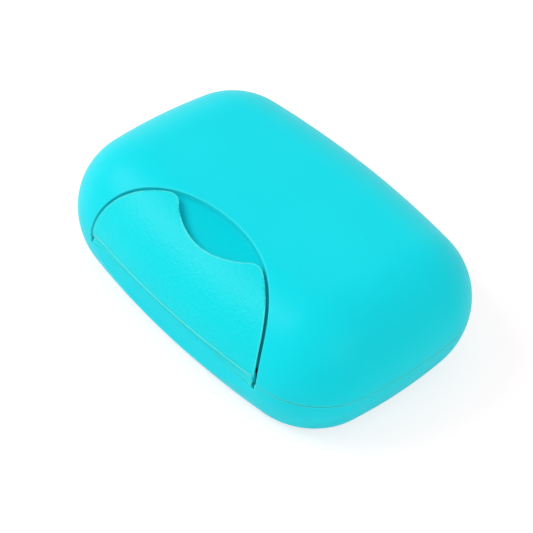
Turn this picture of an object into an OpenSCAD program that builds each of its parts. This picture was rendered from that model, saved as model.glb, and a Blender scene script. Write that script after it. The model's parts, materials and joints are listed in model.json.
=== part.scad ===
// Travel soap box: a domed lid and a shallow tub, hinged at the back,
// with an arched front latch that lies flush in a recess of the lid.
// X runs along the length, -Y is the latch side, Z is up. Sizes in millimetres.

/* [Case] */
// overall length, left to right
case_l = 115; // [105:0.5:125]
// overall width, front to back
case_w = 80.32; // [76:0.04:88]
// overall height when closed
case_h = 37.8; // [36:0.1:39]
// height of the parting line between tub and lid
part_z = 16; // [14:0.5:18]
// gap between the two rims when closed
seam = 0.3; // [0.1:0.1:0.6]
// how far the short sides bow outwards
end_bow = 0.77; // [0.4:0.01:1.5]
// how far the long sides bow outwards
side_bow = 2.4; // [1.5:0.1:3.5]
// extra plan radius of the corners over the lid's edge radius
corner_extra = 1.33; // [1:0.01:3]

/* [Walls] */
// wall of the lid
lid_wall = 1.6; // [1.2:0.1:2]
// wall and floor of the tub
base_wall = 1.7; // [1.4:0.05:2]
// skin of the recess in the lid
floor_t = 1.4; // [1:0.1:1.8]

/* [Foot] */
// distance of the flat foot from the outline
foot_in = 9.1; // [8.5:0.1:11]
// radius where the foot turns up into the side
foot_r = 6.8; // [5:0.1:7]

/* [Latch] */
// skin of the latch
latch_t = 1.5; // [1.2:0.1:1.8]
// plan radius of the arched recess
arch_r = 41.2; // [38:0.1:43]
// distance of the arch centre in front of the outline
arch_out = 18.34; // [17.34:0.1:19.34]
// gap round the latch
latch_gap = 0.9; // [0.5:0.1:1.2]
// plan radius of the finger scoop at the latch's free edge
scoop_r = 23; // [20:0.1:26]
// distance of the scoop centre behind the front of the outline
scoop_in = 34.16; // [32.66:0.1:35.66]
// rounding of the latch's two horns
horn_r = 1.8; // [1:0.1:2.5]
// depth of the recess under the free edge
recess = 3; // [2.5:0.1:3.5]
// height of the latch's lower edge over the parting line
latch_rise = 2.2; // [2:0.1:3]
// distance of the hinge strip's ends from the ends of the land
strip_in = 0.9; // [0.5:0.1:2.5]

/* [Recess floor] */
// distance of the wall behind the latch from the outline
back_in = 5.2; // [5.2:0.1:6]
// height of the foot of the ramp over the parting line
ramp_z = 3.6; // [3:0.1:3.6]
// rise of the ramp for each millimetre inwards
ramp_k = 1.27; // [1.2:0.01:1.27]

/* [Latch hinge] */
// radius of the hinge barrel
barrel_r = 1.1; // [1:0.05:1.3]
// radius of the hinge pin
latch_pin_r = 0.5; // [0.4:0.05:0.6]
// how far the flat land cuts into the bowed front
land_in = 2.36; // [2.06:0.1:2.56]
// ends of the inner knuckles from the middle
knuckle_a = 8.5; // [7:0.5:10]
// ends of the outer knuckles from the middle
knuckle_b = 20.5; // [18:0.5:24]
// gap between neighbouring knuckles
knuckle_gap = 0.2; // [0.1:0.1:0.4]

/* [Lid hinge] */
// distance of the lid hinge axis behind the outline
hinge_out = 1.94; // [1.84:0.1:2.84]
// depth of the lid hinge axis below the parting line
hinge_drop = 3.5; // [3:0.1:4]
// radius of the lid hinge knuckles
hinge_r = 2.2; // [2:0.1:2.4]
// radius of the lid hinge pins
hinge_pin_r = 0.8; // [0.6:0.05:1]
// distance of each hinge from the middle
hinge_x = 24; // [18:1:30]
// width of the lid's knuckle
hinge_w = 9; // [6:1:12]
// width of each lug on the tub
lug_w = 4; // [3:0.5:5]
// radial play of every hinge pin in its bore
pin_play = 0.05; // [0.02:0.01:0.1]

/* [Seal] */
// distance of the sealing lip from the outline
lip_in = 2.2; // [2.1:0.1:2.6]
// thickness of the sealing lip
lip_t = 1.2; // [1:0.1:1.5]
// height of the sealing lip over the parting line
lip_h = 2.4; // [2:0.1:2.6]
// height of the sealing ring
ring_h = 1.7; // [1.4:0.1:2]
// width of the sealing ring
ring_w = 1.8; // [1.5:0.1:2]
// gap between the lip and the relaxed ring
ring_gap = 0.1; // [0.05:0.05:0.3]
// distance of the straight front run of the seal behind the outline
chord_in = 7.56; // [7.26:0.1:8.06]

/* [Drain tray] */
// height of the tray's deck over the tub's floor
tray_lift = 3.8; // [3:0.1:5]
// thickness of the tray's deck
tray_t = 1.5; // [1.2:0.1:2]
// gap between the tray and the tub's wall at the deck
tray_gap = 0.8; // [0.5:0.1:1.5]
// width of the drain slots
slot_w = 3; // [2:0.5:3.5]
// distance between drain slots
slot_pitch = 7; // [6:0.5:9]
// height of the ribs that carry the soap
tray_rib = 1; // [0.6:0.1:1.4]

/* [Colours] */
// plastic of the case
case_colour = "#1EDEE9"; // ["#1EDEE9", "#F2F4F5", "#F3A6B8"]
// plastic of the tray
tray_colour = "#E9F6F7"; // ["#E9F6F7", "#1EDEE9"]

/* [Hidden] */
fillet_r = case_h - part_z;
land_y = case_w / 2 - land_in;
arch_y = case_w / 2 + arch_out;
scoop_y = case_w / 2 - scoop_in;
hinge_y = case_w / 2 + hinge_out;
chord_y = case_w / 2 - chord_in;
corner_r = fillet_r + corner_extra;
core = 28;
cx = case_l / 2 - corner_r - end_bow;
cy = case_w / 2 - corner_r - side_bow;
end_s = (cy * cy + end_bow * end_bow) / (2 * end_bow);
side_s = (cx * cx + side_bow * side_bow) / (2 * side_bow);
end_c = cx - (end_s - end_bow);
side_c = cy - (side_s - side_bow);
land_x = sqrt(pow(side_s + corner_r, 2) - pow(land_y - side_c, 2));
strip_x = floor(10 * (land_x - strip_in)) / 10;
foot_dz = part_z - foot_r;
base_r = (foot_in * foot_in + foot_dz * foot_dz - foot_r * foot_r) / (2 * (foot_in - foot_r));
base_top = part_z - seam / 2;
lid_bot = part_z + seam / 2;
mid = base_wall / 2;
ax_y = -(land_y - 0.9);
ax_z = part_z - 1;
barrel_gap = 0.3;
groove_r = barrel_r + barrel_gap;
strip_z = part_z + latch_rise;
hinge_z = part_z - hinge_drop;
pin_half = hinge_w / 2 + knuckle_gap + lug_w;
pocket_in = arch_r + floor_t;
latch_r = arch_r - latch_gap;
dish_r = scoop_r - 1.1;
ring_z = part_z + lip_h + ring_gap;
lip_out = lip_in + lip_t;
ring_in = lip_in + 0.1;
ring_out = ring_in + ring_w;
rib_out = ring_out + 1.2;
tub_y = -(chord_y - lip_out);
well_y = -(chord_y - lip_in) - 0.3;
tray_z = base_wall + tray_lift;
front_sectors = [[0, 1], [1, 1]];
all_sectors = [[0, 0], [1, 0], [0, 1], [1, 1]];

// the three kinds of stretch of the outline, seen from above
function end_quad() = [[cx, -cy], [2 * cx - end_c, -2 * cy], [2 * cx - end_c, 2 * cy], [cx, cy]];
function side_quad() = [[-cx, cy], [cx, cy], [2 * cx, 2 * cy - side_c], [-2 * cx, 2 * cy - side_c]];
function corner_quad() = [[cx, cy], [2 * cx - end_c, 2 * cy], [3 * cx - end_c, 3 * cy - side_c],
                          [2 * cx, 2 * cy - side_c]];

module stretch(quad) {
  translate([0, 0, -60]) linear_extrude(160) polygon(quad);
}

// carries a wall profile round the bowed outline; the profile's x is minus the
// distance inwards from the outline and its y is the height
module around(ends = [0, 1], sides = [0, 1], corners = all_sectors) {
  for (m = ends)
    mirror([m, 0, 0]) intersection() {
      translate([end_c, 0, 0]) rotate([0, 0, -90])
        rotate_extrude(angle = 180, $fn = 720) translate([end_s + corner_r, 0]) children(0);
      stretch(end_quad());
    }
  for (m = sides)
    mirror([0, m, 0]) intersection() {
      translate([0, side_c, 0])
        rotate_extrude(angle = 180, $fn = 720) translate([side_s + corner_r, 0]) children(0);
      stretch(side_quad());
    }
  for (c = corners)
    mirror([c[0], 0, 0]) mirror([0, c[1], 0]) intersection() {
      translate([cx, cy, 0]) rotate_extrude($fn = 96) intersection() {
        translate([corner_r, 0]) children(0);
        translate([0.4, -60]) square([40, 160]);
      }
      stretch(corner_quad());
    }
}

// the flat middle that closes what around() leaves open
module middle(z0, z1) {
  translate([-cx - 0.6, -cy - 0.6, z0]) cube([2 * cx + 1.2, 2 * cy + 1.2, z1 - z0]);
}

// the bowed outline, moved inwards by e
module plan(e) {
  for (m = [0, 1])
    mirror([m, 0]) intersection() {
      translate([end_c, 0]) circle(end_s + corner_r - e, $fn = 720);
      polygon(end_quad());
    }
  for (m = [0, 1])
    mirror([0, m]) intersection() {
      translate([0, side_c]) circle(side_s + corner_r - e, $fn = 720);
      polygon(side_quad());
    }
  for (m = [0, 1], n = [0, 1])
    mirror([m, 0]) mirror([0, n]) intersection() {
      translate([cx, cy]) circle(corner_r - e, $fn = 96);
      polygon(corner_quad());
    }
  translate([-cx - 0.6, -cy - 0.6]) square([2 * cx + 1.2, 2 * cy + 1.2]);
}

// the closed loop of the seal: the outline with a straight run behind the latch
module loop(e) {
  intersection() {
    plan(e);
    translate([-case_l, -(chord_y - e)]) square([2 * case_l, case_w + 40]);
  }
}

module seal_loop(e0, e1, z0, z1) {
  translate([0, 0, z0]) linear_extrude(z1 - z0) difference() {
    loop(e0);
    loop(e1);
  }
}

// quarter round of the lid down to the height z0
module dome_2d(r, z0) {
  intersection() {
    translate([-fillet_r, part_z]) circle(r, $fn = 144);
    translate([-fillet_r - 1, z0]) square([fillet_r + 1, part_z + r - z0 + 1]);
  }
  translate([-core, z0]) square([core - fillet_r, part_z + r - z0]);
}

// section of the tub, moved inwards by d: two tangent arcs and a flat foot
module tub_2d(d) {
  c = [-base_r, part_z];
  f = [-foot_in, foot_r];
  intersection() {
    translate(c) circle(base_r - d, $fn = 180);
    polygon([c, c + 1.6 * (f - c), [8, part_z]]);
  }
  intersection() {
    translate(f) circle(foot_r - d, $fn = 96);
    polygon([f, f + 1.6 * (f - c) * foot_r / base_r, [0, -10], [-foot_in, -10]]);
  }
  polygon([f, c, [-core, part_z], [-core, d], [-foot_in, d]]);
}

// height of the ramp at the distance e from the outline, d below its surface
function ramp(e, d) = part_z + ramp_z + ramp_k * (e - back_in) - d * sqrt(1 + ramp_k * ramp_k);

// everything under the recess floor, d below its surface
module under_2d(d, top) {
  intersection() {
    polygon([[-(back_in + d), 0], [-(back_in + d), ramp(back_in + d, d)],
             [-17.2, ramp(17.2, d)], [-core, ramp(17.2, d)], [-core, 0]]);
    union() {
      dome_2d(top - d, part_z);
      translate([-core, 0]) square([core, part_z + 0.5]);
    }
  }
}

module arch(r) {
  translate([0, -arch_y, -10]) cylinder(h = 80, r = r, $fn = 256);
}

module scoop(r) {
  translate([0, -scoop_y, -10]) cylinder(h = 80, r = r, $fn = 256);
}

module bar_x(x0, x1, r, y, z) {
  translate([x0, y, z]) rotate([0, 90, 0]) cylinder(h = x1 - x0, r = r, $fn = 64);
}

// material between the lid's wall and the underside of the recess floor
module recess_body() {
  difference() {
    intersection() {
      around([], [1], front_sectors) difference() {
        dome_2d(fillet_r - lid_wall / 2, lid_bot);
        under_2d(floor_t, fillet_r - recess - 0.3);
      }
      arch(pocket_in);
    }
    scoop(dish_r - floor_t);
  }
  intersection() {
    around([], [1], front_sectors) difference() {
      dome_2d(fillet_r - lid_wall / 2, lid_bot + 10);
      dome_2d(fillet_r - recess - floor_t - 0.1, lid_bot - 1);
    }
    arch(pocket_in);
    scoop(dish_r);
  }
}

// the room of the latch: a shallow dish at the free edge and a ramp down to the hinge
module recess_room() {
  intersection() {
    around([], [1], front_sectors) difference() {
      translate([-core, part_z - 6]) square([core + 3, 60]);
      dome_2d(fillet_r - recess, part_z - 7);
    }
    arch(arch_r);
  }
  difference() {
    intersection() {
      around([], [1], front_sectors) difference() {
        translate([-core, part_z - 6]) square([core + 3, 60]);
        under_2d(0, fillet_r - recess - 0.3);
      }
      arch(arch_r);
    }
    scoop(dish_r);
  }
}

// one tongue of the lid that reaches down to the hinge axis
module lid_tongue() {
  translate([-hinge_w / 2, 0, 0]) rotate([90, 0, 90]) linear_extrude(hinge_w) {
    polygon([[hinge_y - 6.1, lid_bot], [hinge_y - hinge_r, lid_bot],
             [hinge_y - hinge_r, hinge_z], [hinge_y + hinge_r, hinge_z],
             [hinge_y + hinge_r - 0.6, lid_bot + 0.6], [hinge_y - 2, lid_bot + 4.6],
             [hinge_y - 6.1, lid_bot + 4.6]]);
    translate([hinge_y, hinge_z]) circle(hinge_r, $fn = 64);
  }
}

module lid_shell() {
  color(case_colour) difference() {
    union() {
      around() difference() {
        dome_2d(fillet_r, lid_bot);
        dome_2d(fillet_r - lid_wall, lid_bot - 1);
      }
      middle(case_h - lid_wall, case_h);
      recess_body();
      translate([0, 0, ring_z + ring_h]) linear_extrude(1.2) difference() {
        intersection() {
          plan(1.3);
          translate([-case_l, -(chord_y + 2)]) square([2 * case_l, case_w + 40]);
        }
        loop(rib_out);
      }
      seal_loop(ring_out, rib_out, part_z + lip_h + 0.6, ring_z + ring_h + 0.1);
      difference() {
        for (s = [-1, 1]) translate([s * hinge_x, 0, 0]) lid_tongue();
        around([], [0], []) dome_2d(fillet_r - lid_wall, part_z - 6);
      }
    }
    recess_room();
    for (s = [-1, 1])
      bar_x(s * hinge_x - pin_half - 1, s * hinge_x + pin_half + 1, hinge_pin_r + pin_play,
            hinge_y, hinge_z);
  }
}

// one lug of the tub that carries the lid's hinge pin
module tub_lug() {
  rotate([90, 0, 90]) linear_extrude(lug_w) {
    polygon([[hinge_y - 8.1, hinge_z - 7], [hinge_y - 4.5, hinge_z - 6],
             [hinge_y, hinge_z - hinge_r], [hinge_y + hinge_r, hinge_z],
             [hinge_y, hinge_z + hinge_r], [hinge_y - 8.1, hinge_z + hinge_r]]);
    translate([hinge_y, hinge_z]) circle(hinge_r, $fn = 64);
  }
}

module tub_lugs() {
  difference() {
    for (s = [-1, 1], t = [-1, 1])
      translate([s * hinge_x + t * (hinge_w / 2 + knuckle_gap + lug_w / 2) - lug_w / 2, 0, 0]) tub_lug();
    around([], [0], []) tub_2d(mid);
  }
}

// front of the tub: flat land, cored well and the straight wall under the seal
module tub_front() {
  intersection() {
    around([], [1], front_sectors) tub_2d(mid);
    union() {
      translate([-case_l, -land_y, 0.9]) cube([2 * case_l, 1.8, part_z - 2.6]);
      translate([-case_l, well_y, 0.9]) cube([2 * case_l, tub_y - well_y, base_top - 0.9]);
      for (i = [-2 : 2]) translate([i * (strip_x - 4) / 2 - 0.6, -land_y + 1, 0.9])
        cube([1.2, well_y + land_y, part_z - 6]);
    }
  }
}

// what the hinge strip of the latch takes out of the tub's front edge
module latch_seat() {
  edge_z = ax_z - sqrt(groove_r * groove_r - pow(land_y + ax_y, 2));
  translate([-strip_x - 1.2, 0, 0]) rotate([90, 0, 90]) linear_extrude(2 * strip_x + 2.4) {
    translate([-case_w, part_z - 1.7]) square([case_w + 5 - land_y, 30]);
    translate([ax_y, ax_z]) circle(groove_r, $fn = 64);
    polygon([[-land_y - 1, edge_z - 1.5], [-land_y + 1, edge_z + 0.5], [-land_y + 1, edge_z + 3],
             [-land_y - 1, edge_z + 3]]);
  }
}

module base_shell() {
  color(case_colour) difference() {
    union() {
      difference() {
        tub_body();
        latch_seat();
      }
      for (k = [-1, 1]) {
        bar_x(knuckle(k)[0], knuckle(k)[1], barrel_r, ax_y, ax_z);
        translate([knuckle(k)[0], ax_y - 0.5, ax_z - 3])
          cube([knuckle(k)[1] - knuckle(k)[0], 1, 3]);
      }
    }
    for (s = [-1, 1])
      bar_x(s * hinge_x - pin_half - 1, s * hinge_x + pin_half + 1, hinge_pin_r + pin_play,
            hinge_y, hinge_z);
    bar_x(-strip_x, strip_x, latch_pin_r + pin_play, ax_y, ax_z);
  }
}

module tub_body() {
  intersection() {
    union() {
      around() difference() {
        tub_2d(0);
        tub_2d(base_wall);
        translate([-core, base_top]) square([core + 8, 10]);
      }
      middle(0, base_wall);
    }
    translate([-case_l, -land_y, -1]) cube([2 * case_l, 2 * case_w, 60]);
  }
  tub_front();
  seal_loop(lip_in - 1, lip_out, part_z - 3, base_top);
  seal_loop(lip_in, lip_out, base_top - 1, part_z + lip_h);
  tub_lugs();
}

// plan of the latch: the arch less the scoop, with both horns rounded
module latch_plan() {
  da = latch_r - horn_r;
  ds = scoop_r + horn_r;
  dc = arch_y - scoop_y;
  hy = (ds * ds - da * da + dc * dc) / (2 * dc);
  hx = sqrt(ds * ds - hy * hy);
  difference() {
    translate([0, -arch_y]) circle(latch_r, $fn = 256);
    translate([0, -scoop_y]) circle(scoop_r, $fn = 256);
    for (m = [0, 1]) mirror([m, 0]) translate([hx, -scoop_y - hy]) difference() {
      polygon([[0, 0], 12 * [hx, dc - hy] / da, 12 * ([hx, dc - hy] / da + [-hx, hy] / ds),
               12 * [-hx, hy] / ds]);
      circle(horn_r + 0.08, $fn = 64);
    }
  }
}

// knuckle k of the latch hinge: -1 and 1 are the tub's, 0, -2 and 2 the latch's
function knuckle(k) =
  k == 0 ? [-knuckle_a + knuckle_gap / 2, knuckle_a - knuckle_gap / 2] :
  k == 1 ? [knuckle_a + knuckle_gap / 2, knuckle_b - knuckle_gap / 2] :
  k == 2 ? [knuckle_b + knuckle_gap / 2, strip_x] : [-knuckle(-k)[1], -knuckle(-k)[0]];

module latch() {
  color(case_colour) difference() {
    union() {
      intersection() {
        union() {
          around([], [1], front_sectors) difference() {
            dome_2d(fillet_r, strip_z);
            dome_2d(fillet_r - latch_t, strip_z - 1);
          }
          intersection() {
            around([], [1], front_sectors) dome_2d(fillet_r - latch_t / 2, strip_z);
            translate([-strip_x, -case_w, strip_z])
              cube([2 * strip_x, case_w + ax_y + 0.6, 1.4]);
          }
        }
        translate([0, 0, -10]) linear_extrude(80) latch_plan();
      }
      translate([-strip_x, ax_y - 0.6, ax_z]) cube([2 * strip_x, 1.2, strip_z - ax_z + 0.7]);
      translate([-strip_x, ax_y - barrel_r, ax_z + 2])
        cube([2 * strip_x, barrel_r + 0.6, strip_z - ax_z - 1.3]);
      for (k = [-2, 0, 2]) bar_x(knuckle(k)[0], knuckle(k)[1], barrel_r, ax_y, ax_z);
    }
    for (k = [-1, 1]) {
      bar_x(knuckle(k)[0] - knuckle_gap, knuckle(k)[1] + knuckle_gap, groove_r, ax_y, ax_z);
    }
    bar_x(-strip_x - 1, strip_x + 1, latch_pin_r + pin_play, ax_y, ax_z);
  }
}

module sealing_ring() {
  color("#DDE8EA") seal_loop(ring_in, ring_out, ring_z, ring_z + ring_h);
}

// distance of the tub's inner face from the outline at the height z
function tub_in(z) = base_r - sqrt(pow(base_r - base_wall, 2) - pow(part_z - z, 2));

module drain_tray() {
  e = ceil((tub_in(tray_z) + tray_gap) * 20) / 20;
  y0 = tub_y + tray_gap;
  deck_y = floor((case_w / 2 - e + y0) / 2);
  color(tray_colour) {
    translate([0, 0, tray_z]) linear_extrude(tray_t) difference() {
      tray_plan(e, y0);
      for (i = [-6 : 6], j = [-1, 1]) translate([i * slot_pitch, deck_y + j * 15 - 11])
        slot_2d();
    }
    translate([0, 0, tray_z + tray_t - 0.2]) linear_extrude(1.2) difference() {
      tray_plan(e, y0);
      tray_plan(e + 1.2, y0 + 1.2);
    }
    for (i = [-6 : 5], j = [-1, 1])
      translate([(i + 0.5) * slot_pitch, deck_y + j * 15 - 10, tray_z + tray_t])
        rotate([-90, 0, 0]) cylinder(h = 20, r = tray_rib, $fn = 32);
    for (x = [-5.5, -0.5, 5.5], j = [-1, 1])
      translate([x * slot_pitch, deck_y + j * 22, base_wall])
        cylinder(h = tray_lift + 0.5, r = (slot_pitch - slot_w) / 2 - 0.1, $fn = 32);
  }
}

module tray_plan(e, y0) {
  intersection() {
    plan(e);
    translate([-case_l, y0]) square([2 * case_l, case_w + 40]);
  }
}

module slot_2d() {
  translate([-slot_w / 2, slot_w / 2]) square([slot_w, 22 - slot_w]);
  translate([0, slot_w / 2]) circle(slot_w / 2, $fn = 32);
  translate([0, 22 - slot_w / 2]) circle(slot_w / 2, $fn = 32);
}

module lid_hinge_pins() {
  color("#B9BDC1") for (s = [-1, 1])
    bar_x(s * hinge_x - pin_half + 0.2, s * hinge_x + pin_half - 0.2, hinge_pin_r, hinge_y, hinge_z);
}

module latch_hinge_pin() {
  color("#B9BDC1") bar_x(-strip_x + 0.2, strip_x - 0.2, latch_pin_r, ax_y, ax_z);
}

base_shell();
lid_shell();
latch();
sealing_ring();
drain_tray();
lid_hinge_pins();
latch_hinge_pin();
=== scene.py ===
import bpy
import json
import math
from mathutils import Matrix, Vector

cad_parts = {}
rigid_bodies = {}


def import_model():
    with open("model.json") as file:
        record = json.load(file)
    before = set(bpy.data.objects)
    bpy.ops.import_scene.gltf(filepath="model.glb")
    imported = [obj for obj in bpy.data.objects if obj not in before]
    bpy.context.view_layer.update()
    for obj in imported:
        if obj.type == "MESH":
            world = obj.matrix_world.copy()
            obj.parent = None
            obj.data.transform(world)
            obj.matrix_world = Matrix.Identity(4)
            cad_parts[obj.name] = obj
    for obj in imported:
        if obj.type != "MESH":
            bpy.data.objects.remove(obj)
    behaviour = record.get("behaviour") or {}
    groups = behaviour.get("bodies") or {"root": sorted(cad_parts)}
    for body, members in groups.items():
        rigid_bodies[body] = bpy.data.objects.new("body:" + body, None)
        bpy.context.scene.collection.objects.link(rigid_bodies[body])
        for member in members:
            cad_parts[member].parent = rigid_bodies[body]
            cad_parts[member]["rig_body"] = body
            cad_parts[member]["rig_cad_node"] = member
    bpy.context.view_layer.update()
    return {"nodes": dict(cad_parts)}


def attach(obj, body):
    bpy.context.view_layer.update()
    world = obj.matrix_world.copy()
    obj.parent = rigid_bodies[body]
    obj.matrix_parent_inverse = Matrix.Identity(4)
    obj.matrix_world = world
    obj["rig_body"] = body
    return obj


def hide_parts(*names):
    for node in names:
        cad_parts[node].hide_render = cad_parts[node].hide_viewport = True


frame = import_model()

# Materials


def linear(hex_colour):
    """sRGB hex to the linear colour a shader takes."""
    digits = hex_colour.lstrip("#")
    channels = []
    for i in (0, 2, 4):
        c = int(digits[i:i + 2], 16) / 255
        channels.append(c / 12.92 if c <= 0.04045 else ((c + 0.055) / 1.055) ** 2.4)
    return (*channels, 1.0)


def add(tree, kind, settings=None, **links):
    """Adds one node, sets its properties and inputs, and links its inputs."""
    node = tree.nodes.new(kind)
    for key, value in (settings or {}).items():
        if hasattr(node, key):
            setattr(node, key, value)
        else:
            node.inputs[key].default_value = value
    for key, source in links.items():
        tree.links.new(source, node.inputs[key.replace("_", " ")])
    return node


def new_material(name):
    material = bpy.data.materials.new(name)
    material.use_nodes = True
    material.node_tree.nodes.clear()
    return material, material.node_tree


# Injection-moulded polypropylene from a spark-eroded tool: a satin colour with a soft
# broad gloss, a fine even grain, and moulded edges with a tiny rounding, along whose
# crests a thin paler line is a painted highlight.
# edge is the colour of the painted highlight along the crests of convex edges
def satin_polypropylene(name, base, deep, edge, roughness, grain_mm, grain,
                        edge_mm=0.3, painted_highlight_share=0.5, sheen_level=0.13):
    material, tree = new_material(name)
    coord = add(tree, "ShaderNodeTexCoord").outputs["Object"]
    # slow drift of the colour where the melt flowed, about 30 mm from side to side
    flow = add(tree, "ShaderNodeTexNoise", {"Scale": 33.0, "Detail": 1.0}, Vector=coord)
    tint = add(tree, "ShaderNodeValToRGB", Fac=flow.outputs["Fac"])
    tint.color_ramp.elements[0].position = 0.32
    tint.color_ramp.elements[0].color = linear(deep)
    tint.color_ramp.elements[1].position = 0.68
    tint.color_ramp.elements[1].color = linear(base)
    # moulded edges are rounded by about 0.3 mm; the paler colour on their crests is a painted highlight
    rounded = add(tree, "ShaderNodeBevel", {"samples": 6, "Radius": edge_mm / 1000})
    crest = add(tree, "ShaderNodeAmbientOcclusion",
                {"samples": 8, "inside": True, "only_local": True, "Distance": 2 * edge_mm / 1000})
    # this mask of the convex crests lays on the painted highlight
    rim = add(tree, "ShaderNodeMapRange",
              {"From Min": 0.96, "From Max": 0.55, "To Min": 0.0, "To Max": painted_highlight_share},
              Value=crest.outputs["AO"])
    # a Mix node has several inputs named A and B, so the colours go in by number
    colour = add(tree, "ShaderNodeMix", {"data_type": "RGBA"}, Factor=rim.outputs["Result"])
    tree.links.new(tint.outputs["Color"], colour.inputs[6])
    # the edge colour goes in here as the painted highlight
    colour.inputs[7].default_value = linear(edge)
    # the spark grain is drawn coarser than the real 0.1 mm, so that it shows
    fine = add(tree, "ShaderNodeTexNoise", {"Scale": 1000 / grain_mm, "Detail": 3.0, "Roughness": 0.65},
               Vector=coord)
    bump = add(tree, "ShaderNodeBump", {"Strength": grain, "Distance": 0.0002},
               Height=fine.outputs["Fac"], Normal=rounded.outputs["Normal"])
    # the grain breaks the gloss a little as well
    gloss = add(tree, "ShaderNodeMapRange",
                {"From Min": 0.3, "From Max": 0.7, "To Min": roughness - 0.05, "To Max": roughness + 0.05},
                Value=fine.outputs["Fac"])
    shader = add(tree, "ShaderNodeBsdfPrincipled",
                 {"IOR": 1.49, "Specular IOR Level": sheen_level, "Subsurface Weight": 0.35,
                  "Subsurface Radius": (0.25, 1.0, 1.1), "Subsurface Scale": 0.002},
                 Base_Color=colour.outputs[2], Roughness=gloss.outputs["Result"],
                 Normal=bump.outputs["Normal"])
    add(tree, "ShaderNodeOutputMaterial", Surface=shader.outputs["BSDF"])
    return material


# Platinum-cured silicone, pressed: milky, slightly see-into, with a dry dull skin
# that a fine lay of dust and talc makes paler in places.
def pressed_silicone():
    material, tree = new_material("pressed_silicone")
    coord = add(tree, "ShaderNodeTexCoord").outputs["Object"]
    # clouds of talc about 6 mm across
    cloud = add(tree, "ShaderNodeTexNoise", {"Scale": 160.0, "Detail": 2.0}, Vector=coord)
    tint = add(tree, "ShaderNodeValToRGB", Fac=cloud.outputs["Fac"])
    tint.color_ramp.elements[0].position = 0.35
    tint.color_ramp.elements[0].color = linear("#CCD8DB")
    tint.color_ramp.elements[1].position = 0.65
    tint.color_ramp.elements[1].color = linear("#DCE6E8")
    # a dry skin with a grain of 0.4 mm
    skin = add(tree, "ShaderNodeTexNoise", {"Scale": 2500.0, "Detail": 2.0}, Vector=coord)
    bump = add(tree, "ShaderNodeBump", {"Strength": 0.2, "Distance": 0.00005}, Height=skin.outputs["Fac"])
    shader = add(tree, "ShaderNodeBsdfPrincipled",
                 {"Roughness": 0.56, "IOR": 1.41, "Subsurface Weight": 0.35,
                  "Subsurface Radius": (1.0, 1.05, 1.1), "Subsurface Scale": 0.001},
                 Base_Color=tint.outputs["Color"], Normal=bump.outputs["Normal"])
    add(tree, "ShaderNodeOutputMaterial", Surface=shader.outputs["BSDF"])
    return material


# Stainless spring wire, drawn through a die: bright, with fine draw lines that run
# along the wire and stretch every reflection round it.
def drawn_wire():
    material, tree = new_material("drawn_stainless_wire")
    coord = add(tree, "ShaderNodeTexCoord").outputs["Object"]
    # draw lines 0.05 mm apart and about 10 mm long, all along X
    place = add(tree, "ShaderNodeMapping", Vector=coord)
    place.inputs["Scale"].default_value = (100.0, 20000.0, 20000.0)
    lines = add(tree, "ShaderNodeTexNoise", {"Scale": 1.0, "Detail": 2.0}, Vector=place.outputs["Vector"])
    bump = add(tree, "ShaderNodeBump", {"Strength": 0.25, "Distance": 0.00002}, Height=lines.outputs["Fac"])
    gloss = add(tree, "ShaderNodeMapRange", {"To Min": 0.22, "To Max": 0.36}, Value=lines.outputs["Fac"])
    shader = add(tree, "ShaderNodeBsdfPrincipled", {"Base Color": linear("#C4C7CA"), "Metallic": 1.0},
                 Roughness=gloss.outputs["Result"], Normal=bump.outputs["Normal"])
    add(tree, "ShaderNodeOutputMaterial", Surface=shader.outputs["BSDF"])
    return material


# the fourth colour of each finish is the painted highlight along its edges' crests
lid_plastic = satin_polypropylene("satin_turquoise_polypropylene", "#02E1ED", "#00DFEC", "#5CF2F2",
                                  0.38, 0.35, 0.15)
# the latch comes from its own tool with a coarser grain, which sparkles softly
latch_plastic = satin_polypropylene("grained_turquoise_polypropylene", "#02E2EB", "#00DFE9", "#5CF4EE",
                                    0.34, 1.0, 1.1, painted_highlight_share=0.55, sheen_level=0.16)
# the finger dish is the same plastic as the lid; its deeper colour is painted shade for the recess, and it
# has less gloss
dish_plastic_painted_shade = satin_polypropylene("satin_turquoise_polypropylene_painted_shade", "#00D9E7", "#00D4E3", "#40E8EC",
                                   0.45, 0.35, 0.15, sheen_level=0.04)
# the bead of the latch's lower edge is painted paler, a painted highlight along that edge, and is glossier
# with almost no grain
bead_plastic_painted_highlight = satin_polypropylene("glossy_turquoise_polypropylene_painted_highlight", "#3CECEC", "#2EE8E9", "#74F4EE",
                                   0.25, 0.5, 0.05)
tray_plastic = satin_polypropylene("satin_white_polypropylene", "#E9F6F7", "#E3F1F3", "#F6FCFC",
                                   0.42, 0.35, 0.15)
silicone = pressed_silicone()
wire = drawn_wire()

FINISH = {"base_shell": lid_plastic, "lid_shell": lid_plastic, "latch": latch_plastic,
          "sealing_ring": silicone, "drain_tray": tray_plastic,
          "lid_hinge_pins": wire, "latch_hinge_pin": wire}
for name, node in frame["nodes"].items():
    node.data.materials.clear()
    node.data.materials.append(FINISH[name])

# Values of part.scad, in millimetres

CASE_H = 37.8                        # height of the closed case
PART_Z, FILLET_R = 16.0, 21.8        # parting line, and radius of the dome in section
SIDE_R, SIDE_C = 259.53, -219.37     # the bowed front in plan: its radius, and minus its centre's Y
ARCH_Y, ARCH_R = 58.5, 41.2          # the arched recess: its centre's distance in front, and radius
SCOOP_Y, SCOOP_R = 6.0, 23.0         # the same for the hollow in the latch's upper edge
LATCH_GAP = 0.9                      # between the latch and the arched wall

# Finger dish

FLOOR_DEPTH = 2.05                   # of the dish's floor under the dome
COVE_R = 1.3                         # radius with which the floor runs up into the arched wall
RIM_GAP = 0.01                       # keeps the floor's rim off the wall's own face
LEDGE_TURN = math.radians(53)        # past this turn of the arch the floor stands upright


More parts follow.
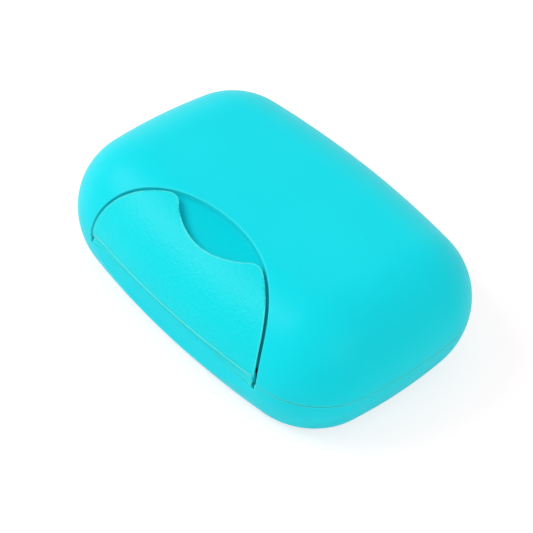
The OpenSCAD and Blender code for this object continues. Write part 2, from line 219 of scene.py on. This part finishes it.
def dome_height(x, y, depth):
    """Height of the lid's front over a place in plan, at a depth below its surface."""
    inwards = SIDE_R - math.hypot(x, y + SIDE_C)
    return PART_Z + math.sqrt((FILLET_R - depth) ** 2 - max(FILLET_R - inwards, 0.0) ** 2)


def cove_lift(wall):
    """How far the cove lifts the floor at a distance from the arched wall."""
    if wall >= COVE_R:
        return 0.0
    return COVE_R - math.sqrt(COVE_R ** 2 - (COVE_R - wall) ** 2)


def dress(piece, material, body):
    """Gives a piece of the case its finish and lets it move with a body."""
    piece.data.materials.append(material)
    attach(piece, body)


def thicken(piece, thickness):
    """Gives a sheet this thickness below it, in millimetres, smooth faces and clear edges."""
    wall = piece.modifiers.new("wall", "SOLIDIFY")
    wall.thickness = thickness / 1000
    wall.offset = -1.0
    bpy.ops.object.modifier_apply(modifier=wall.name)
    bpy.ops.object.shade_smooth_by_angle(angle=math.radians(40))


def recess_floor():
    """The floor of the latch's recess: a shallow bowl under the finger and a ledge along
    the arched wall, both running up into the wall with a cove."""
    ledge, under = 3.2, 2.6          # width along the wall, and reach under the latch's edge
    bowl, slope = 0.8, 7.0           # how much deeper the bowl is, and how wide its slope
    crowding = 1.5                   # draws the rows of points towards the cove
    columns, rows = 240, 24
    bpy.ops.object.select_all(action="DESELECT")
    bpy.ops.mesh.primitive_grid_add(x_subdivisions=columns, y_subdivisions=rows, size=2.0)
    dish = bpy.context.object
    dish.name = "recess_floor"
    reach = SCOOP_R + under
    drop = ARCH_Y - SCOOP_Y
    rim = ARCH_R - RIM_GAP
    for v in dish.data.vertices:
        turn = v.co.x * LEDGE_TURN
        share = ((1 - v.co.y) / 2) ** crowding
        # down the ray from the arch's centre to the ledge's edge, or under the latch's edge
        low = ARCH_R - ledge
        span = reach ** 2 - (drop * math.sin(turn)) ** 2
        if span > 0:
            low = min(low, max(drop * math.cos(turn) - math.sqrt(span), 0.0))
        away = rim - (rim - low) * share
        x = away * math.sin(turn)
        y = away * math.cos(turn) - ARCH_Y
        wall = ARCH_R - away
        # under the finger the floor sinks further towards the latch
        sunk = min(max(wall - COVE_R, 0.0) / slope, 1.0)
        dip = bowl * math.sin(sunk * math.pi / 2)
        v.co = Vector((x, y, dome_height(x, y, FLOOR_DEPTH - cove_lift(wall) + dip))) / 1000
    thicken(dish, 0.7)
    dress(dish, dish_plastic_painted_shade, "lid")


def recess_jamb(side):
    """The same floor at one end of the recess, where it stands upright behind the gap."""
    wide = 1.8
    lowest, highest = (math.asin(rise / (FILLET_R - FLOOR_DEPTH)) for rise in (3.9, 10.4))
    bpy.ops.object.select_all(action="DESELECT")
    bpy.ops.mesh.primitive_grid_add(x_subdivisions=12, y_subdivisions=24, size=2.0)
    jamb = bpy.context.object
    jamb.name = "recess_jamb_left" if side < 0 else "recess_jamb_right"
    apart = ARCH_Y - SIDE_C
    for v in jamb.data.vertices:
        wall = RIM_GAP + wide * (1 - v.co.x) / 2
        rise = lowest + (highest - lowest) * (1 + v.co.y) / 2
        radius = FILLET_R - FLOOR_DEPTH + cove_lift(wall)
        far = SIDE_R - FILLET_R + radius * math.cos(rise)
        # where the case's own circle crosses the one at this distance from the arched wall
        along = ((ARCH_R - wall) ** 2 - far ** 2 + apart ** 2) / (2 * apart)
        x = side * math.sqrt((ARCH_R - wall) ** 2 - along ** 2)
        v.co = Vector((x, along - ARCH_Y, PART_Z + radius * math.sin(rise))) / 1000
    if side < 0:
        jamb.data.flip_normals()
    thicken(jamb, 0.9)
    dress(jamb, lid_plastic, "lid")


# Latch

HORN_R = 4.2                         # rounding of the two horns beside the scoop


def horn_cutter(side):
    """What the rounding of one horn takes away: the tip between the arch and the scoop."""
    rim, hollow, drop = ARCH_R - LATCH_GAP - HORN_R, SCOOP_R + HORN_R, ARCH_Y - SCOOP_Y
    # the rounding's centre, as far from the arch's circle as from the scoop's
    down = (hollow ** 2 - rim ** 2 + drop ** 2) / (2 * drop)
    middle = Vector((math.sqrt(hollow ** 2 - down ** 2), -SCOOP_Y - down))
    to_rim = (middle - Vector((0, -ARCH_Y))).normalized()
    to_hollow = (Vector((0, -SCOOP_Y)) - middle).normalized()
    first = math.atan2(to_rim.y, to_rim.x)
    last = math.atan2(to_hollow.y, to_hollow.x)
    steps, beyond, spread = 24, 6, 0.2
    outline = [middle + HORN_R * Vector((math.cos(a), math.sin(a)))
               for a in (first + (last - first) * i / steps for i in range(steps + 1))]
    # two corners beyond the tip close the cutter's outline
    outline.append(middle + HORN_R * to_hollow + beyond * (to_hollow + spread * to_rim))
    outline.append(middle + HORN_R * to_rim + beyond * (to_rim + spread * to_hollow))
    foot, tall = 20.0, 30.0          # where the cutter starts, and its height
    bpy.ops.object.select_all(action="DESELECT")
    bpy.ops.mesh.primitive_circle_add(vertices=len(outline), fill_type="NGON")
    cutter = bpy.context.object
    for v, place in zip(cutter.data.vertices, outline):
        v.co = Vector((side * place.x, place.y, foot)) / 1000
    bpy.ops.object.mode_set(mode="EDIT")
    bpy.ops.mesh.select_all(action="SELECT")
    bpy.ops.mesh.extrude_region_move(TRANSFORM_OT_translate={"value": (0, 0, tall / 1000)})
    bpy.ops.mesh.select_all(action="SELECT")
    bpy.ops.mesh.normals_make_consistent(inside=False)
    bpy.ops.object.mode_set(mode="OBJECT")
    return cutter


def rounded_latch():
    """The latch with its two horns rounded as far as the photograph shows."""
    bpy.ops.object.select_all(action="DESELECT")
    latch = frame["nodes"]["latch"].copy()
    latch.data = latch.data.copy()
    latch.name = "front_latch"
    bpy.context.scene.collection.objects.link(latch)
    # the copy is a new piece, so it loses the marks and the parent of the CAD node
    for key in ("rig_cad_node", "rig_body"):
        if key in latch:
            del latch[key]
    latch.parent = None
    latch.select_set(True)
    bpy.context.view_layer.objects.active = latch
    bpy.ops.object.mode_set(mode="EDIT")
    bpy.ops.mesh.select_all(action="SELECT")
    bpy.ops.mesh.remove_doubles(threshold=0.000001)
    bpy.ops.object.mode_set(mode="OBJECT")
    for side in (-1, 1):
        cutter = horn_cutter(side)
        cut = latch.modifiers.new("horn", "BOOLEAN")
        cut.operation = "DIFFERENCE"
        cut.solver = "EXACT"
        cut.object = cutter
        bpy.ops.object.select_all(action="DESELECT")
        latch.select_set(True)
        bpy.context.view_layer.objects.active = latch
        bpy.ops.object.modifier_apply(modifier=cut.name)
        bpy.data.objects.remove(cutter)
    # slivers along the scoop's edge would show as dark specks
    bpy.ops.object.mode_set(mode="EDIT")
    bpy.ops.mesh.select_all(action="SELECT")
    bpy.ops.mesh.dissolve_degenerate(threshold=0.00002)
    bpy.ops.object.mode_set(mode="OBJECT")
    bpy.ops.object.shade_smooth_by_angle(angle=math.radians(25))
    # the large faces set the shading, so the thin triangles at the scoop's edge don't streak
    even = latch.modifiers.new("even", "WEIGHTED_NORMAL")
    even.mode = "FACE_AREA"
    even.weight = 100
    even.keep_sharp = True
    bpy.ops.object.modifier_apply(modifier=even.name)
    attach(latch, "latch")
    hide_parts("latch")


def lower_bead():
    """The thin bead along the latch's lower edge, painted paler as a painted highlight along it."""
    radius, height, half = 0.22, 18.42, 33.9
    far = SIDE_R - FILLET_R + math.sqrt(FILLET_R ** 2 - (height - PART_Z) ** 2)
    blunt, run = 0.25, 1.2           # share of the radius at the ends, and length that adds one more
    steps, around = 120, 12
    bpy.ops.object.select_all(action="DESELECT")
    bpy.ops.mesh.primitive_cylinder_add(vertices=around, radius=radius, depth=2.0,
                                        rotation=(0, math.pi / 2, 0), end_fill_type="NGON")
    bead = bpy.context.object
    bead.name = "latch_bead"
    bpy.ops.object.transform_apply(location=False, rotation=True, scale=False)
    bpy.ops.object.mode_set(mode="EDIT")
    for i in range(1, steps):
        bpy.ops.mesh.select_all(action="SELECT")
        bpy.ops.mesh.bisect(plane_co=(-1 + 2 * i / steps, 0, 0), plane_no=(1, 0, 0))
    bpy.ops.object.mode_set(mode="OBJECT")
    # the straight rod is laid along the bowed front
    for v in bead.data.vertices:
        along = v.co.x * half
        taper = min(1.0, blunt + (half - abs(along)) / run)
        out = far - taper * v.co.y
        y = -SIDE_C - math.sqrt(out ** 2 - along ** 2)
        v.co = Vector((along, y, height + taper * v.co.z)) / 1000
    bpy.ops.object.mode_set(mode="EDIT")
    bpy.ops.mesh.select_all(action="SELECT")
    bpy.ops.mesh.normals_make_consistent(inside=False)
    bpy.ops.object.mode_set(mode="OBJECT")
    bpy.ops.object.shade_smooth_by_angle(angle=math.radians(50))
    dress(bead, bead_plastic_painted_highlight, "latch")


recess_floor()
for side in (-1, 1):
    recess_jamb(side)
rounded_latch()
lower_bead()

# Stage


# White matt paper. Only the camera sees it lifted to pure white, with a shadow that is
# kept neutral against the turquoise that the box throws on it; the light that it throws
# back on the box stays that of plain paper.
def white_paper():
    material, tree = new_material("white_paper_sweep")
    path = add(tree, "ShaderNodeLightPath")
    paper = add(tree, "ShaderNodeBsdfDiffuse", {"Color": linear("#F4F7F8")})
    shade = add(tree, "ShaderNodeBsdfDiffuse", {"Color": (0.5, 0.43, 0.43, 1)})
    lift = add(tree, "ShaderNodeEmission", {"Color": (1, 1, 1, 1), "Strength": 0.66})
    # Add Shader and Mix Shader name both their inputs Shader, so they are linked by number
    seen = add(tree, "ShaderNodeAddShader")
    tree.links.new(shade.outputs["BSDF"], seen.inputs[0])
    tree.links.new(lift.outputs["Emission"], seen.inputs[1])
    sweep = add(tree, "ShaderNodeMixShader", Fac=path.outputs["Is Camera Ray"])
    tree.links.new(paper.outputs["BSDF"], sweep.inputs[1])
    tree.links.new(seen.outputs["Shader"], sweep.inputs[2])
    add(tree, "ShaderNodeOutputMaterial", Surface=sweep.outputs["Shader"])
    return material


bpy.ops.object.select_all(action="DESELECT")
bpy.ops.mesh.primitive_plane_add(size=6.0, location=(0, 0, 0))
floor = bpy.context.object
floor.name = "floor"
floor.data.materials.append(white_paper())

# Light

SKY = 0.65
KEY_W, FILL_W = 3.3, 0.9


def studio_world():
    """A plain soft sky, which the camera and all reflections see as pure white."""
    world = bpy.data.worlds.new("studio")
    bpy.context.scene.world = world
    world.use_nodes = True
    tree = world.node_tree
    tree.nodes.clear()
    path = add(tree, "ShaderNodeLightPath")
    direct = add(tree, "ShaderNodeMath", {"operation": "MAXIMUM"})
    tree.links.new(path.outputs["Is Camera Ray"], direct.inputs[0])
    tree.links.new(path.outputs["Is Transmission Ray"], direct.inputs[1])
    shown = add(tree, "ShaderNodeMath", {"operation": "MAXIMUM"})
    tree.links.new(direct.outputs["Value"], shown.inputs[0])
    tree.links.new(path.outputs["Is Glossy Ray"], shown.inputs[1])
    soft = add(tree, "ShaderNodeBackground", {"Color": (1, 1, 1, 1), "Strength": SKY})
    white = add(tree, "ShaderNodeBackground", {"Color": (1, 1, 1, 1), "Strength": 1.0})
    sky = add(tree, "ShaderNodeMixShader", Fac=shown.outputs["Value"])
    tree.links.new(soft.outputs["Background"], sky.inputs[1])
    tree.links.new(white.outputs["Background"], sky.inputs[2])
    add(tree, "ShaderNodeOutputWorld", Surface=sky.outputs["Shader"])


def softbox(name, place, size, power):
    """A square lamp that looks at the middle of the box."""
    lamp = bpy.data.lights.new(name, "AREA")
    lamp.shape = "SQUARE"
    lamp.size = size
    lamp.energy = power
    holder = bpy.data.objects.new(name, lamp)
    bpy.context.scene.collection.objects.link(holder)
    aim = Vector((0, 0, 0.02))
    holder.location = place
    holder.rotation_mode = "QUATERNION"
    holder.rotation_quaternion = (aim - Vector(place)).to_track_quat("-Z", "Y")


studio_world()
softbox("key", (-0.47, -0.43, 0.63), 0.45, KEY_W)
softbox("fill", (0.74, 0.0, 0.51), 0.6, FILL_W)

# Camera, fitted to the photograph's silhouette and parting line

AZIMUTH, ELEVATION, ROLL = (math.radians(degrees) for degrees in (43.028, 45.004, 7.263))
DISTANCE = 497.40                    # millimetres from the camera to the middle of the case
PHOTO_SIDE, FOCAL_PX = 533, 1743.93  # the frame and the focal length, in pixels
MIDDLE_U, MIDDLE_V = 272.395, 242.627    # the pixel where the middle of the case shows
SENSOR = 36.0


def photo_camera():
    """The camera that took the photograph: turned, rolled and moved aside, without shift."""
    back = Vector((math.sin(AZIMUTH) * math.cos(ELEVATION), -math.cos(AZIMUTH) * math.cos(ELEVATION),
                   math.sin(ELEVATION)))
    level = Vector((math.cos(AZIMUTH), math.sin(AZIMUTH), 0))
    upright = back.cross(level)
    right = level * math.cos(ROLL) + upright * math.sin(ROLL)
    up = upright * math.cos(ROLL) - level * math.sin(ROLL)
    aside = (MIDDLE_U - PHOTO_SIDE / 2) * DISTANCE / FOCAL_PX
    below = (MIDDLE_V - PHOTO_SIDE / 2) * DISTANCE / FOCAL_PX
    eye = Vector((0, 0, CASE_H / 2)) - right * aside + up * below + back * DISTANCE
    lens = bpy.data.cameras.new("camera")
    lens.sensor_width = SENSOR
    lens.lens = FOCAL_PX / PHOTO_SIDE * SENSOR
    lens.clip_start = 0.01
    lens.clip_end = 20
    camera = bpy.data.objects.new("camera", lens)
    bpy.context.scene.collection.objects.link(camera)
    axes = Matrix((right, up, back)).transposed().to_4x4()
    camera.matrix_world = Matrix.Translation(eye / 1000) @ axes
    return camera


bpy.context.scene.camera = photo_camera()
bpy.context.scene.view_settings.view_transform = "Standard"
